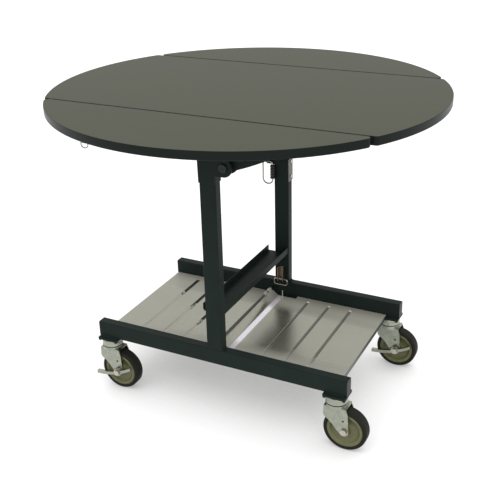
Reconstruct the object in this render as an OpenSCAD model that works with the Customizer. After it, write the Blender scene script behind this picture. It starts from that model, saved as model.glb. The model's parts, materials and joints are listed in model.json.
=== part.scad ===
// Folding room service table: a round three-board top that tilts on two posts,
// drop leaves, a two-panel folding shelf and four swivel casters.
// Millimetres. The floor is z = 0 and the origin lies under the centre of the top.
// +X runs along the rails to the right, +Y to the rear, +Z up.

/* [Top] */
// Diameter of the round top
top_d = 914; // [880:2:960]
// Height of the top surface above the floor
top_h = 760; // [745:1:800]
// Thickness of the boards
board_t = 19; // [16:0.5:22]
// Distance of each seam from the centre line
seam_y = 242; // [234:1:275]
// Gap at each seam
seam_gap = 3; // [2:0.5:4]
// Width of the moulding round each board
edging_t = 4; // [2:0.5:6]
// Plan radius of the board corners at the seams
corner_r = 10; // [8:1:20]

/* [Leaf hinges] */
// Distance of the outer hinges from the middle one
hinge_pitch = 260; // [200:5:300]
// Length of a hinge along the seam
hinge_len = 60; // [40:5:90]
// Outer radius of the hinge knuckles
knuckle_r = 4; // [3.5:0.5:5]
// Radius of the hinge pins
hinge_pin_r = 2; // [1.5:0.25:2.5]
// Width of one hinge plate
hinge_plate_w = 26; // [18:1:27]
// Thickness of the hinge plates
hinge_plate_t = 2; // [1.5:0.25:2.5]

/* [Rails and posts] */
// Length of a rail over its end caps
rail_len = 664; // [600:4:720]
// Distance of each rail from the centre line
rail_y = 194; // [180:1:200]
// Height of the tube on its wide side
tube_w = 40; // [36:1:50]
// Thickness of the tube on its narrow side
tube_t = 25; // [24:1:30]
// Wall of the tube
tube_wall = 2; // [1.5:0.25:2.5]
// Corner radius of the tube
tube_r = 3; // [2.5:0.5:5]
// Thickness of the end caps
cap_t = 3; // [2:0.5:5]

/* [Tilting head] */
// Distance of the tilt axis to the right of the posts' centre
tilt_x = 42; // [40:0.5:46]
// Depth of the tilt axis below the boards
tilt_drop = 100; // [90:1:110]
// Radius of the tilt pins
tilt_pin_r = 6; // [5:0.5:7]
// Thickness of the head cheeks
cheek_t = 3; // [2.5:0.5:4]
// Depth of the arms' bearers below the boards
bearer_h = 24; // [21:1:30]
// Thickness of the arms' webs
arm_t = 6; // [4:0.5:8]
// Reach of the arms to the left of the centre line
arm_left = 250; // [220:5:300]
// Reach of the arms to the right of the centre line
arm_right = 270; // [250:5:300]
// Width of the flange on each arm
arm_flange_w = 30; // [26:1:32]
// Distance of each crossbar from the centre line
crossbar_x = 200; // [160:5:215]
// Side of the square crossbars
crossbar_w = 20; // [16:1:20]
// Thickness of the rest pads
pad_t = 10; // [6:1:14]

/* [Cross channel] */
// Height of the channel above the rails
channel_rise = 87; // [75:1:110]
// Reach of the channel to the left of the posts' centre
channel_left = 40; // [30:1:46]
// Reach of the channel to the right of the posts' centre
channel_right = 18; // [12:1:18]
// Height of the channel's sides
channel_h = 17; // [12:1:24]
// Thickness of the channel's sheet
channel_t = 2; // [1.5:0.25:3]

/* [Shelf] */
// Distance of the shelf's hinge rod to the left of the posts' centre
rod_x = 25; // [22:0.5:28]
// Height of the rod above the shelf surface
rod_rise = 17; // [15:0.5:20]
// Radius of the rod
rod_r = 3.5; // [3:0.25:4]
// Height of the shelf surface above the underside of the rails
shelf_rise = 4; // [3:0.5:6]
// Thickness of the shelf sheet
sheet_t = 1.5; // [1:0.25:2]
// Distance of the left panel's far end from the rails' left end
left_inset = 3; // [3:1:30]
// Distance of the left panel's near edge to the left of the rod
left_lip = 2; // [1:0.5:8]
// Near edge of the right panel, from the posts' centre
right_near = -4; // [-6:0.5:2]
// Distance of the right panel's far end from the rails' right end
right_inset = 34; // [32:1:56]
// Gap between the panels and the rails
shelf_gap = 1.5; // [1:0.5:3]
// Depth of the turned-down flange at the far ends
flange_h = 12; // [8:1:14]
// Distance of the left panel's middle bead from the posts' centre
left_bead = 189; // [180:1:196]
// Distance of the right panel's middle bead from the posts' centre
right_bead = 146; // [136:1:156]
// Distance of the outer beads from the middle bead of a panel
bead_pitch = 60; // [40:1:66]
// Length of each pressed bead
bead_len = 316; // [240:4:320]
// Width of each pressed bead
bead_w = 8; // [5:0.5:10]
// Depth of each pressed bead
bead_d = 1.25; // [0.5:0.25:1.5]

/* [Casters] */
// Diameter of the wheels over the tyre
wheel_d = 105; // [100:1:110]
// Width of the tyres
tyre_w = 30; // [26:1:32]
// Radius of the hubs inside the tyres
hub_r = 43; // [40:0.5:45]
// Trail of each wheel behind its swivel axis
trail = 24.5; // [20:0.5:28]
// Gap between tyre and fork crown
crown_gap = 5; // [4:0.5:8]
// Distance between the fork legs
fork_w = 34; // [33:1:38]
// Thickness of the fork legs
leg_t = 2.5; // [2:0.25:3]
// Height of the swivel bearing
bearing_h = 24; // [23:1:28]
// Radius of the swivel bearing
race_r = 26; // [25:0.5:27.5]
// Radius of the king pins
king_r = 6; // [5:0.5:6.5]
// Radius of the wheel axles
axle_r = 5; // [4:0.25:5.5]
// Thickness of the mounting plates
plate_t = 5; // [4:0.5:6]
// Length of the mounting plates along the rails
plate_l = 56; // [54:1:64]
// Width of the mounting plates across the rails
plate_w = 48; // [46:1:50]

/* [Catches] */
// Radius of the wire of the upper catch bail
bail_r = 2; // [1.5:0.25:2.25]
// Width of the upper catch bail
bail_w = 27; // [26:0.5:30]
// Height of the upper catch bail
bail_h = 61; // [50:1:70]
// Depth of the bail's axis below the head of the post
bail_drop = 74; // [60:1:98]
// Radius of the wire of the lower hook
hook_r = 1.5; // [1:0.25:1.75]
// Width of the lower hook
hook_w = 38; // [34:1:42]
// Height of the lower hook
hook_h = 17; // [14:1:18]
// Radius of the wire of the leaf pull
pull_r = 1.25; // [1:0.25:1.5]
// Outer width of the leaf pull
pull_w = 19; // [17.5:0.5:24]
// Distance of the leaf pull's axis inside the rim of the top
pull_in = 11.68; // [10:0.02:14]

/* [Hidden] */

$fn = 64;
top_fn = 360;
wheel_fn = 96;

black = "#22282a";
laminate = "#68685e";
zinc = "#9aa08f";
steel = "#a0a094";
rubber = "#34332c";
hub_olive = "#6e6e4b";
dark_wire = "#3c3c3a";

run_gap = 0.05;   // radial clearance of a running fit
seat_gap = 0.3;   // clearance where a moving piece rests

// Heights, from the floor up
axle_z = wheel_d / 2;
web_t = 3;
web_z = wheel_d + crown_gap;
plate_z = web_z + web_t + bearing_h;
rail_z = plate_z + plate_t;
rail_top = rail_z + tube_w;
under_z = top_h - board_t;
tilt_z = under_z - tilt_drop;
bearer_z = under_z - bearer_h;
head_plate_t = 3;
head_drop = 41;
pad_z = bearer_z - seat_gap - pad_t;
post_top = pad_z - head_plate_t;
channel_z = rail_top + channel_rise;
shelf_z = rail_z + shelf_rise;
rod_z = shelf_z + rod_rise;
head_foot = tilt_z - head_drop;
bail_z = head_foot - bail_drop;

// Faces of the rails and posts across the table
rail_in = rail_y - tube_t / 2;
rail_out = rail_y + tube_t / 2;
post_half = tube_w / 2;
cap_plug = 10;

// Top and leaf hinges
top_r = top_d / 2;
hinge_z = under_z - knuckle_r;
hinge_bore_r = hinge_pin_r + run_gap;
knuckles = 5;
knuckle_len = hinge_len / knuckles;
knuckle_gap = 0.2;
hinge_xs = [-hinge_pitch, 0, hinge_pitch];

// Tilting head
cheek_y = [rail_in - cheek_t / 2, rail_out + cheek_t / 2];
lug_r = 21;
arm_boss_r = 15.5;
arm_belly = [108, 23];
head_left = 60;
pad_x = 43;
pad_l = 26;
pad_w = 20;
flange_t = 3;
screw_r = 3;
screw_head_r = 5;
screw_end = 15;
screw_edge = 6;

// Shelf
left_far = rail_len / 2 - left_inset;
left_near = rod_x + left_lip;
right_far = rail_len / 2 - right_inset;
shelf_y = rail_in - shelf_gap;
end_flange_y = rail_y - plate_w / 2 - 3;
lip_y = rail_in - 15.5;
notch_x = 48;
knuckle_out = 5.6;
knuckle_in = rod_r + 0.1;
lip_seat = 4.9;
lip_clear = knuckle_out + 0.4;
right_knuckle_y = 150;
left_knuckle_y = 126;
shelf_knuckle_len = 16;
rest_l = 24;
rest_x = rail_len / 2 - plate_l - rest_l / 2 - 9;
mid_rest = [-60, 52];
rest_w = 16;
rest_t = 3;
rod_bracket_t = 3;
rod_bracket_w = 16;
rod_bracket_h = 26;
peg_x = 15;
peg_y = 152;
peg_r = 1.25;
peg_h = 25;

// Casters
caster_x = rail_len / 2 - plate_l / 2;
axle_len = fork_w + 2 * leg_t;
nut_t = 4.5;
skirt_t = 2;
skirt_h = 13;
track_t = 3;
brake_t = 8;
brake_tip = [-62, -13];
brake_bend = [-8, -12];
brake_tail = [40, 18];
crown_t = 6;
king_head_t = 4;
king_head_r = 9;
nut_r = 9.5;
ball_r = 4;
ball_ring_r = 18;
ball_z = plate_z - track_t - seat_gap - ball_r;
ball_count = 10;

// Catches
barrel_r = 4;
bail_x = 34.5;
bail_y = rail_in - 7;
strap_t = 3;
strap_h = 16;
strap_tail = 52;
rivet_pitch = 40;
bail_bend = 7.5;
bail_round = 0.75;
grip_r = 6.5;
grip_l = 38;
hook_rise = 11;
hook_y = rail_in - 7.5;
tab_l = 11.5;
tab_h = 42;
tab_t = 2;
tab_x = 7.5;
pull_x = -150;
pull_h = 12;
pull_y = pull_in - sqrt(pow(top_d / 2, 2) - pow(pull_x, 2));

// ---------- shared shapes ----------

// Flat rectangle with round corners, centred
module round_rect(w, h, r) {
    square([w, h - 2 * r], center = true);
    square([w - 2 * r, h], center = true);
    for (sx = [-1, 1], sy = [-1, 1])
        translate([sx * (w / 2 - r), sy * (h / 2 - r)]) circle(r);
}

// Section of the frame tube, wide side along the first axis
module tube_section() {
    difference() {
        round_rect(tube_w, tube_t, tube_r);
        round_rect(tube_w - 2 * tube_wall, tube_t - 2 * tube_wall, tube_r - tube_wall);
    }
}

// Box given by its two opposite corners
module box(a, b) {
    translate(a) cube(b - a);
}

// Cylinder along X, centred at p
module rod_x_axis(p, r, l, fn = 32) {
    translate(p) rotate([0, 90, 0]) cylinder(r = r, h = l, center = true, $fn = fn);
}

// Cylinder along Y, centred at p
module rod_y_axis(p, r, l, fn = 48) {
    translate(p) rotate([90, 0, 0]) cylinder(r = r, h = l, center = true, $fn = fn);
}

// Plate cut to an outline drawn in x and z, with its thickness along Y centred on y
module xz_plate(y, t) {
    translate([0, y + t / 2, 0]) rotate([90, 0, 0]) linear_extrude(t) children();
}

// Quadratic curve through a and c, drawn towards b
function curve(a, b, c, n) = [for (i = [0:n]) let(t = i / n)
    (1 - t) * (1 - t) * a + 2 * t * (1 - t) * b + t * t * c];

// ---------- top boards ----------

// Corner to take off where a circle of radius r meets the line y = s, on the side
// given by dir: 1 keeps what is below the line, -1 keeps what is above it
module corner_cut(r, s, c, dir) {
    over = 2;
    cy = s - dir * c;
    cx = sqrt((r - c) * (r - c) - cy * cy);
    far = sqrt(r * r - s * s) + 6;
    difference() {
        polygon([[cx, cy], [cx, s + dir * over], [far, s + dir * over],
            [cx, cy] * (r + over) / (r - c)]);
        translate([cx, cy]) circle(c, $fn = 48);
    }
}

// Outline of the centre board, drawn in by inset
module center_outline(inset) {
    r = top_r - inset;
    s = seam_y - seam_gap / 2 - inset;
    difference() {
        intersection() {
            circle(r, $fn = top_fn);
            square([3 * r, 2 * s], center = true);
        }
        for (mx = [0, 1], my = [0, 1])
            mirror([mx, 0]) mirror([0, my]) corner_cut(r, s, corner_r - inset, 1);
    }
}

// Outline of the rear leaf, drawn in by inset
module leaf_outline(inset) {
    r = top_r - inset;
    s = seam_y + seam_gap / 2 + inset;
    difference() {
        intersection() {
            circle(r, $fn = top_fn);
            translate([-2 * r, s]) square([4 * r, 2 * r]);
        }
        for (mx = [0, 1])
            mirror([mx, 0]) corner_cut(r, s, corner_r - inset, -1);
    }
}

module board_slab() {
    translate([0, 0, under_z]) linear_extrude(board_t) children();
}

module center_board() color(laminate) board_slab() center_outline(edging_t);

module center_edging() color(black) board_slab() difference() {
    center_outline(0);
    center_outline(edging_t);
}

module leaf_board(side) color(laminate)
    board_slab() mirror([0, side < 0 ? 1 : 0]) leaf_outline(edging_t);

module leaf_edging(side) color(black)
    board_slab() mirror([0, side < 0 ? 1 : 0]) difference() {
        leaf_outline(0);
        leaf_outline(edging_t);
    }

// ---------- leaf hinges ----------

// One hinge plate with its own knuckles; toward is the side of the axis it lies on,
// first is the number of its first knuckle
module hinge_plate(x, axis_y, toward, first) {
    root = knuckle_r + 0.6;
    difference() {
        union() {
            for (i = [first:2:knuckles - 1]) {
                kx = x - hinge_len / 2 + (i + 0.5) * knuckle_len;
                kl = knuckle_len - knuckle_gap;
                rod_x_axis([kx, axis_y, hinge_z], knuckle_r, kl);
                translate([kx - kl / 2, min(axis_y, axis_y + toward * root), under_z - hinge_plate_t])
                    cube([kl, root, hinge_plate_t]);
            }
            translate([x - hinge_len / 2, axis_y + (toward > 0 ? root : -root - hinge_plate_w),
                under_z - hinge_plate_t])
                cube([hinge_len, hinge_plate_w, hinge_plate_t]);
        }
        rod_x_axis([x, axis_y, hinge_z], hinge_bore_r, hinge_len + 2);
    }
}

module center_hinge_plates() color(zinc)
    for (side = [-1, 1], x = hinge_xs)
        hinge_plate(x, side * seam_y, -side, 0);

module leaf_hinge_plates(side) color(zinc)
    for (x = hinge_xs)
        hinge_plate(x, side * seam_y, side, 1);

module hinge_pins() color(zinc)
    for (side = [-1, 1], x = hinge_xs)
        rod_x_axis([x, side * seam_y, hinge_z], hinge_pin_r, hinge_len);

// ---------- rails and posts ----------

module rail(side) color(black) {
    difference() {
        translate([-rail_len / 2 + cap_t, side * rail_y, rail_z + tube_w / 2])
            rotate([90, 0, 90]) linear_extrude(rail_len - 2 * cap_t)
                rotate(90) tube_section();
        for (mx = [-1, 1])
            translate([mx * caster_x, side * rail_y, rail_z - 1])
                cylinder(r = king_r + run_gap, h = tube_wall + 2);
        rod_y_axis([-rod_x, side * (rail_in + tube_wall / 2), rod_z], rod_r + run_gap,
            tube_wall + 2);
    }
}

// Plastic caps with a plug that fits the tube
module rail_end_caps() color(black)
    for (sx = [-1, 1], sy = [-1, 1])
        translate([sx * (rail_len / 2 - cap_t), sy * rail_y, rail_z + tube_w / 2])
            rotate([90, 0, sx * 90]) {
                linear_extrude(cap_t) rotate(90) round_rect(tube_w, tube_t, tube_r);
                translate([0, 0, -cap_plug]) linear_extrude(cap_plug)
                    rotate(90) round_rect(tube_w - 2 * tube_wall - 0.4,
                        tube_t - 2 * tube_wall - 0.4, tube_r - tube_wall);
            }

module post(side) color(black)
    translate([0, side * rail_y, rail_top])
        linear_extrude(post_top - rail_top) tube_section();

module cross_channel() color(black) {
    box([-channel_left, -rail_in, channel_z], [channel_right, rail_in, channel_z + channel_t]);
    for (x = [-channel_left, channel_right - channel_t])
        box([x, -rail_in, channel_z], [x + channel_t, rail_in, channel_z + channel_h]);
}

// ---------- tilting head ----------

// Outline of a head cheek: flared shoulder on the left, pivot lug on the right
module cheek_outline() {
    plate_top = post_top + head_plate_t;
    difference() {
        union() {
            polygon(concat(
                [[-post_half, head_foot]],
                curve([-post_half - 1, tilt_z + 8], [-post_half - 1, tilt_z + 42],
                    [-head_left, post_top - 8], 8),
                [[-head_left, plate_top], [post_half, plate_top],
                 [post_half, post_top], [post_half + 10, post_top],
                 [tilt_x + lug_r * cos(40), tilt_z + lug_r * sin(40)], [tilt_x, tilt_z],
                 [tilt_x, tilt_z - lug_r], [post_half, tilt_z - lug_r], [post_half, head_foot]]));
            translate([tilt_x, tilt_z]) circle(lug_r);
        }
        translate([tilt_x, tilt_z]) circle(tilt_pin_r + run_gap);
    }
}

// Two cheeks on a post, joined by the plate that carries the rest pad
module head(side) color(black) {
    for (y = cheek_y)
        xz_plate(side * y, cheek_t) cheek_outline();
    box([-head_left, side * rail_y - tube_t / 2 - cheek_t, post_top],
        [post_half, side * rail_y + tube_t / 2 + cheek_t, post_top + head_plate_t]);
}

module rest_pads() color(rubber)
    for (side = [-1, 1])
        translate([-pad_x, side * rail_y, pad_z])
            linear_extrude(pad_t) round_rect(pad_l, pad_w, 4);

// Shouldered bolt through both cheeks, with its head in front and its nut behind
module tilt_pins() color(zinc)
    for (side = [-1, 1]) {
        span = tube_t + 2 * cheek_t;
        rod_y_axis([tilt_x, side * rail_y, tilt_z], tilt_pin_r, span);
        rod_y_axis([tilt_x, side * rail_y - span / 2 - 2, tilt_z], tilt_pin_r + 4, 4);
        rod_y_axis([tilt_x, side * rail_y + span / 2 + 2.5, tilt_z], tilt_pin_r + 4, 5, 6);
    }

// Arm that carries the top: a web shaped like a gusset, with a boss round the pin
// and a flange under the boards
module tilt_arm(side) color(black) {
    strut = tilt_x - arm_boss_r;
    difference() {
        union() {
            xz_plate(side * rail_y, arm_t) union() {
                polygon(concat(
                    [[-arm_left, under_z], [-arm_left, bearer_z], [strut, bearer_z],
                     [strut, tilt_z], [tilt_x, tilt_z - arm_boss_r]],
                    curve([tilt_x + lug_r, tilt_z - 7], [tilt_x, tilt_z] + arm_belly,
                        [arm_right - 2, under_z - flange_t], 10),
                    [[arm_right - 2, under_z]]));
                translate([tilt_x, tilt_z]) circle(arm_boss_r);
            }
            rod_y_axis([tilt_x, side * rail_y, tilt_z], arm_boss_r, tube_t - 2 * seat_gap);
            box([-arm_left, side * rail_y - arm_flange_w / 2, under_z - flange_t],
                [arm_right, side * rail_y + arm_flange_w / 2, under_z]);
        }
        rod_y_axis([tilt_x, side * rail_y, tilt_z], tilt_pin_r + run_gap, tube_t + 4);
        for (x = screw_xs(), y = screw_ys())
            translate([x, side * rail_y + y, under_z - flange_t - 1])
                cylinder(r = screw_r + run_gap, h = flange_t + 2, $fn = 24);
    }
}

function screw_xs() = [-arm_left + screw_end, -arm_left / 2, arm_right / 2, arm_right - screw_end];
function screw_ys() = [-arm_flange_w / 2 + screw_edge, arm_flange_w / 2 - screw_edge];

module crossbars() color(black)
    for (sx = [-1, 1])
        translate([sx * crossbar_x, 0, under_z - flange_t - crossbar_w / 2])
            rotate([90, 0, 0])
                linear_extrude(2 * rail_y - arm_t, center = true) difference() {
                    round_rect(crossbar_w, crossbar_w, 2);
                    square(crossbar_w - 2 * 1.5, center = true);
                }

// Pan-head screws through the arms' flanges; the threads bite in the board
module frame_screws() color(zinc)
    for (side = [-1, 1], x = screw_xs(), y = screw_ys())
        translate([x, side * rail_y + y, 0]) {
            translate([0, 0, under_z - flange_t]) cylinder(r = screw_r, h = flange_t, $fn = 24);
            translate([0, 0, under_z - flange_t - 2]) cylinder(r = screw_head_r, h = 2, $fn = 24);
        }

// ---------- shelf ----------

module shelf_rod() color(dark_wire)
    rod_y_axis([-rod_x, 0, rod_z], rod_r, 2 * (rail_in + tube_wall - 0.2), 32);

module rod_brackets() color(black)
    for (side = [-1, 1])
        difference() {
            translate([-rod_x, side * (rail_in - rod_bracket_t / 2), rod_z])
                cube([rod_bracket_w, rod_bracket_t, rod_bracket_h], center = true);
            rod_y_axis([-rod_x, side * rail_in, rod_z], rod_r + run_gap, 4 * rod_bracket_t, 32);
        }

// Lugs on the rails' inner faces that the panels lie on: short ones near the ends, and
// a long one under the hinge on each side
module shelf_rests() color(black)
    for (side = [-1, 1])
        translate([0, side * (rail_in - rest_w / 2), shelf_z - sheet_t - seat_gap - rest_t / 2]) {
            for (sx = [-1, 1])
                translate([sx * rest_x, 0, 0]) cube([rest_l, rest_w, rest_t], center = true);
            translate([(mid_rest[0] + mid_rest[1]) / 2, 0, 0])
                cube([mid_rest[1] - mid_rest[0], rest_w, rest_t], center = true);
        }

// Pressed beads of one panel: the grooves cut from the top, or the ridges below
module beads(mid, extra, z, h) {
    for (i = [-1:1])
        translate([mid + i * bead_pitch, 0, z])
            linear_extrude(h) round_rect(bead_w + extra, bead_len + extra, (bead_w + extra) / 2 - 0.01);
}

// The sheet that slopes from a panel's near edge at x up to the rod: its direction,
// and the step through its thickness to the side turned away from the goods
function slope(x) = let(run = [-rod_x - x, rod_z - shelf_z]) run / norm(run);
function slope_under(x) = -sign(x + rod_x) * [slope(x)[1], -slope(x)[0]] * sheet_t;

// Lip of a panel, which stays clear of the knuckles on the rod
module rod_lip(x) {
    near = [x, shelf_z];
    end = [-rod_x, rod_z] - slope(x) * lip_clear;
    xz_plate(0, 2 * lip_y) polygon([near, end, end + slope_under(x), near + slope_under(x),
        near - [0, sheet_t]]);
}

// Knuckles of one panel round the rod, at y = +-at, each with the tongue that joins the lip
module rod_knuckles(x, at) {
    root = [-rod_x, rod_z] - slope(x) * lip_clear;
    end = [-rod_x, rod_z] - slope(x) * lip_seat;
    for (side = [-1, 1]) {
        difference() {
            rod_y_axis([-rod_x, side * at, rod_z], knuckle_out, shelf_knuckle_len, 32);
            rod_y_axis([-rod_x, side * at, rod_z], knuckle_in, shelf_knuckle_len + 2, 32);
        }
        xz_plate(side * at, shelf_knuckle_len)
            polygon([root, end, end + slope_under(x), root + slope_under(x)]);
    }
}

module shelf_left() color(steel) {
    bottom = shelf_z - sheet_t;
    difference() {
        box([-left_far, -shelf_y, bottom], [-left_near, shelf_y, shelf_z]);
        beads(-left_bead, 0, shelf_z - bead_d, bead_d + 1);
    }
    beads(-left_bead, 2, bottom - bead_d, bead_d);
    box([-left_far, -end_flange_y, bottom - flange_h + sheet_t],
        [-left_far + sheet_t, end_flange_y, bottom]);
    rod_lip(-left_near);
}

module shelf_right() color(steel) {
    bottom = shelf_z - sheet_t;
    difference() {
        box([right_near, -shelf_y, bottom], [right_far, shelf_y, shelf_z]);
        beads(right_bead, 0, shelf_z - bead_d, bead_d + 1);
        for (side = [-1, 1])
            box([right_near - 1, min(side * lip_y, side * (shelf_y + 1)), bottom - 1],
                [notch_x, max(side * lip_y, side * (shelf_y + 1)), shelf_z + 1]);
    }
    beads(right_bead, 2, bottom - bead_d, bead_d);
    box([right_far - sheet_t, -end_flange_y, bottom - flange_h + sheet_t],
        [right_far, end_flange_y, bottom]);
    rod_lip(right_near);
    translate([peg_x, peg_y, shelf_z]) {
        cylinder(r = 4, h = 2, $fn = 24);
        cylinder(r = peg_r, h = peg_h, $fn = 24);
    }
}

module shelf_left_knuckles() color(steel) rod_knuckles(-left_near, left_knuckle_y);

module shelf_right_knuckles() color(steel) rod_knuckles(right_near, right_knuckle_y);

// ---------- catches on the rear post ----------

// Clevis at the foot of the rear post
module hook_bracket() color("#8f8074") {
    z = rail_top + 4;
    box([-tab_x - tab_t / 2, rail_in - 1.5, z], [tab_x + tab_t / 2, rail_in, z + tab_h]);
    for (x = [-tab_x, tab_x])
        difference() {
            box([x - tab_t / 2, rail_in - tab_l, z], [x + tab_t / 2, rail_in - 1.5, z + tab_h]);
            rod_x_axis([x, hook_y, rail_top + hook_rise], hook_r + run_gap, tab_t + 2, 24);
        }
}

// Closed loop of wire in a plane across the post, hung from its top bar.
// w is measured between the wire's centre lines and h down to its lowest one;
// bends are the radii of the upper and lower corners.
module wire_loop(mid, w, h, r, bends) {
    for (low = [0, 1])
        rod_x_axis(mid - [0, 0, low * h], r, w - 2 * bends[low], 24);
    for (sx = [-1, 1]) {
        translate(mid + [sx * w / 2, 0, -h + bends[1]])
            cylinder(r = r, h = h - bends[0] - bends[1], $fn = 24);
        for (low = [0, 1]) {
            bend = bends[low];
            translate(mid + [sx * (w / 2 - bend), 0, low == 0 ? -bend : -h + bend])
                intersection() {
                    rotate([90, 0, 0]) rotate_extrude($fn = 48)
                        translate([bend, 0]) circle(r, $fn = 24);
                    box([sx > 0 ? 0 : -2 * bend, -2 * r, low == 0 ? 0 : -2 * bend],
                        [sx > 0 ? 2 * bend : 0, 2 * r, low == 0 ? 2 * bend : 0]);
                }
        }
    }
}

module hook_loop() color(zinc)
    wire_loop([0, hook_y, rail_top + hook_rise], hook_w, hook_h, hook_r, [6, 6]);

// Strap round the rear post, with the barrel that the bail turns in
module catch_bracket() color(zinc) {
    y0 = rail_in - strap_t;
    z0 = bail_z - strap_h / 2;
    bar = bail_w - 2 * grip_r - 4;
    difference() {
        union() {
            box([-bail_x - bar / 2, y0, z0], [post_half + 2, rail_in, z0 + strap_h]);
            box([-bail_x - bar / 2, bail_y, bail_z - barrel_r],
                [-bail_x + bar / 2, y0, bail_z + barrel_r]);
            rod_x_axis([-bail_x, bail_y, bail_z], barrel_r, bar);
        }
        rod_x_axis([-bail_x, bail_y, bail_z], bail_r + run_gap, bar + 2);
    }
    box([post_half, rail_in, bail_z - strap_tail], [post_half + 2, rail_out - 1, z0 + strap_h]);
    for (z = [bail_z - rivet_pitch, bail_z])
        rod_x_axis([post_half + 2.75, rail_y, z], 4, 1.5, 24);
    rod_y_axis([0, y0 - 0.75, bail_z], 4, 1.5, 24);
}

module catch_bail() color(dark_wire)
    wire_loop([-bail_x, bail_y, bail_z], bail_w, bail_h, bail_r,
        [bail_bend, bail_w / 2 - bail_round]);

// Ribbed rubber sleeve on the bail's right leg
module catch_grip() color(rubber) {
    ribs = 5;
    rib_pitch = grip_l / ribs;
    translate([-bail_x + bail_w / 2, bail_y, bail_z - bail_bend - grip_l])
        rotate_extrude($fn = 48) union() {
            translate([bail_r + run_gap, 0]) square([grip_r - 1.2 - bail_r - run_gap, grip_l - 1]);
            for (i = [0:ribs - 1])
                translate([bail_r + 1, i * rib_pitch]) square([grip_r - bail_r - 1, rib_pitch * 0.6]);
        }
}

// ---------- leaf pull ----------

module pull_clip() color(zinc)
    difference() {
        union() {
            box([pull_x - 5, pull_y, under_z - 1.5], [pull_x + 5, pull_y + 18, under_z]);
            rod_x_axis([pull_x, pull_y, under_z - 1.5 - pull_r], pull_r + 1.5, 10, 24);
        }
        rod_x_axis([pull_x, pull_y, under_z - 1.5 - pull_r], pull_r + run_gap, 12, 24);
        box([pull_x - 6, pull_y - 6, under_z], [pull_x + 6, pull_y + 6, under_z + 6]);
    }

module pull_ring() color(zinc)
    wire_loop([pull_x, pull_y, under_z - 1.5 - pull_r], pull_w - 2 * pull_r, pull_h, pull_r,
        [3.25, pull_w / 2 - pull_r - 0.5]);

// ---------- casters ----------

// Places a shape drawn round the swivel axis at one of the four corners
module at_corner(sx, sy) {
    translate([sx * caster_x, sy * rail_y, 0]) children();
}

module each_corner() {
    for (sx = [-1, 1], sy = [-1, 1])
        at_corner(sx, sy) children();
}

module mounting_plates() color(black)
    each_corner()
        difference() {
            translate([0, 0, plate_z]) linear_extrude(plate_t) round_rect(plate_l, plate_w, 5);
            translate([0, 0, plate_z - 1]) cylinder(r = king_r + run_gap, h = plate_t + 2);
        }

// Fixed upper half of the swivel bearing, with its skirt
module caster_races() color(zinc)
    each_corner()
        rotate_extrude($fn = 96) {
            translate([king_r + run_gap, plate_z - track_t])
                square([race_r - king_r - run_gap, track_t]);
            translate([race_r - skirt_t, plate_z - track_t - skirt_h])
                square([skirt_t, skirt_h + 1]);
        }

// Pin that holds the fork: flanged head below, nut inside the rail
module king_pins() color(zinc)
    each_corner() {
        translate([0, 0, web_z - king_head_t]) cylinder(r = king_head_r, h = king_head_t - run_gap);
        translate([0, 0, web_z - king_head_t])
            cylinder(r = king_r, h = rail_z + tube_wall + 8 - web_z + king_head_t);
        translate([0, 0, rail_z + tube_wall]) cylinder(r = nut_r, h = 7, $fn = 6);
    }

module race_balls() color(zinc)
    each_corner()
        for (i = [0:ball_count - 1])
            rotate(i * 360 / ball_count) translate([ball_ring_r, 0, ball_z]) sphere(ball_r, $fn = 24);

// Outline of a fork leg in x and z, from the swivel axis: the wheel trails to +X
module leg_outline() {
    difference() {
        union() {
            polygon([[-race_r + 1.5, web_z], [-race_r, web_z - 20], [-race_r + 3, web_z - 26],
                [-12, web_z - 34], [-3, axle_z + 14.5], [trail - 18.5, axle_z + 2.5],
                [trail - 9, axle_z - 7.1], [trail, axle_z], [trail + 11.5, axle_z],
                [trail + 9, web_z - 10], [trail + 5, web_z]]);
            translate([trail, axle_z]) circle(11.5);
        }
        translate([trail, axle_z]) circle(axle_r + run_gap);
        translate([trail - 2, axle_z + 28.5]) circle(2.5, $fn = 24);
    }
}

// Stamped fork: crown ring with the lower ball track, web and two legs
module fork() color(zinc) {
    difference() {
        union() {
            translate([-race_r + 1.5, -axle_len / 2, web_z])
                cube([race_r - 1.5 + trail + 5, axle_len, web_t]);
            translate([0, 0, web_z]) cylinder(r = race_r, h = web_t + crown_t, $fn = 96);
            translate([0, 0, web_z]) cylinder(r = race_r - 3.5,
                h = ball_z - ball_r - seat_gap - web_z, $fn = 96);
        }
        translate([0, 0, web_z - 1]) cylinder(r = king_r + run_gap, h = bearing_h + 10);
    }
    for (side = [-1, 1])
        xz_plate(side * (fork_w + leg_t) / 2, leg_t) leg_outline();
}

// Bolt through the legs and hub, long enough to carry a brake lever where there is one
module axle(braked) color(zinc) {
    front = axle_len / 2 + (braked ? brake_t + 2 * seat_gap : 0);
    back = axle_len / 2;
    translate([trail, 0, axle_z]) {
        translate([0, back, 0]) rotate([90, 0, 0]) cylinder(r = axle_r, h = front + back);
        translate([0, -front, 0]) rotate([90, 0, 0]) cylinder(r = 8, h = nut_t, $fn = 6);
        translate([0, back + nut_t, 0]) rotate([90, 0, 0]) cylinder(r = 8, h = nut_t, $fn = 6);
    }
}

// Section of the hub: bearing boss, dished disc and rim
module hub() color(hub_olive)
    translate([trail, 0, axle_z]) rotate([90, 0, 0]) rotate_extrude($fn = wheel_fn) {
        boss_w = fork_w - 1;
        rim_w = tyre_w - 4;
        translate([axle_r + run_gap, -boss_w / 2]) square([14 - axle_r - run_gap, boss_w]);
        translate([13, -4]) square([hub_r - 19, 8]);
        translate([hub_r - 7, -rim_w / 2]) square([7, rim_w]);
    }

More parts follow.
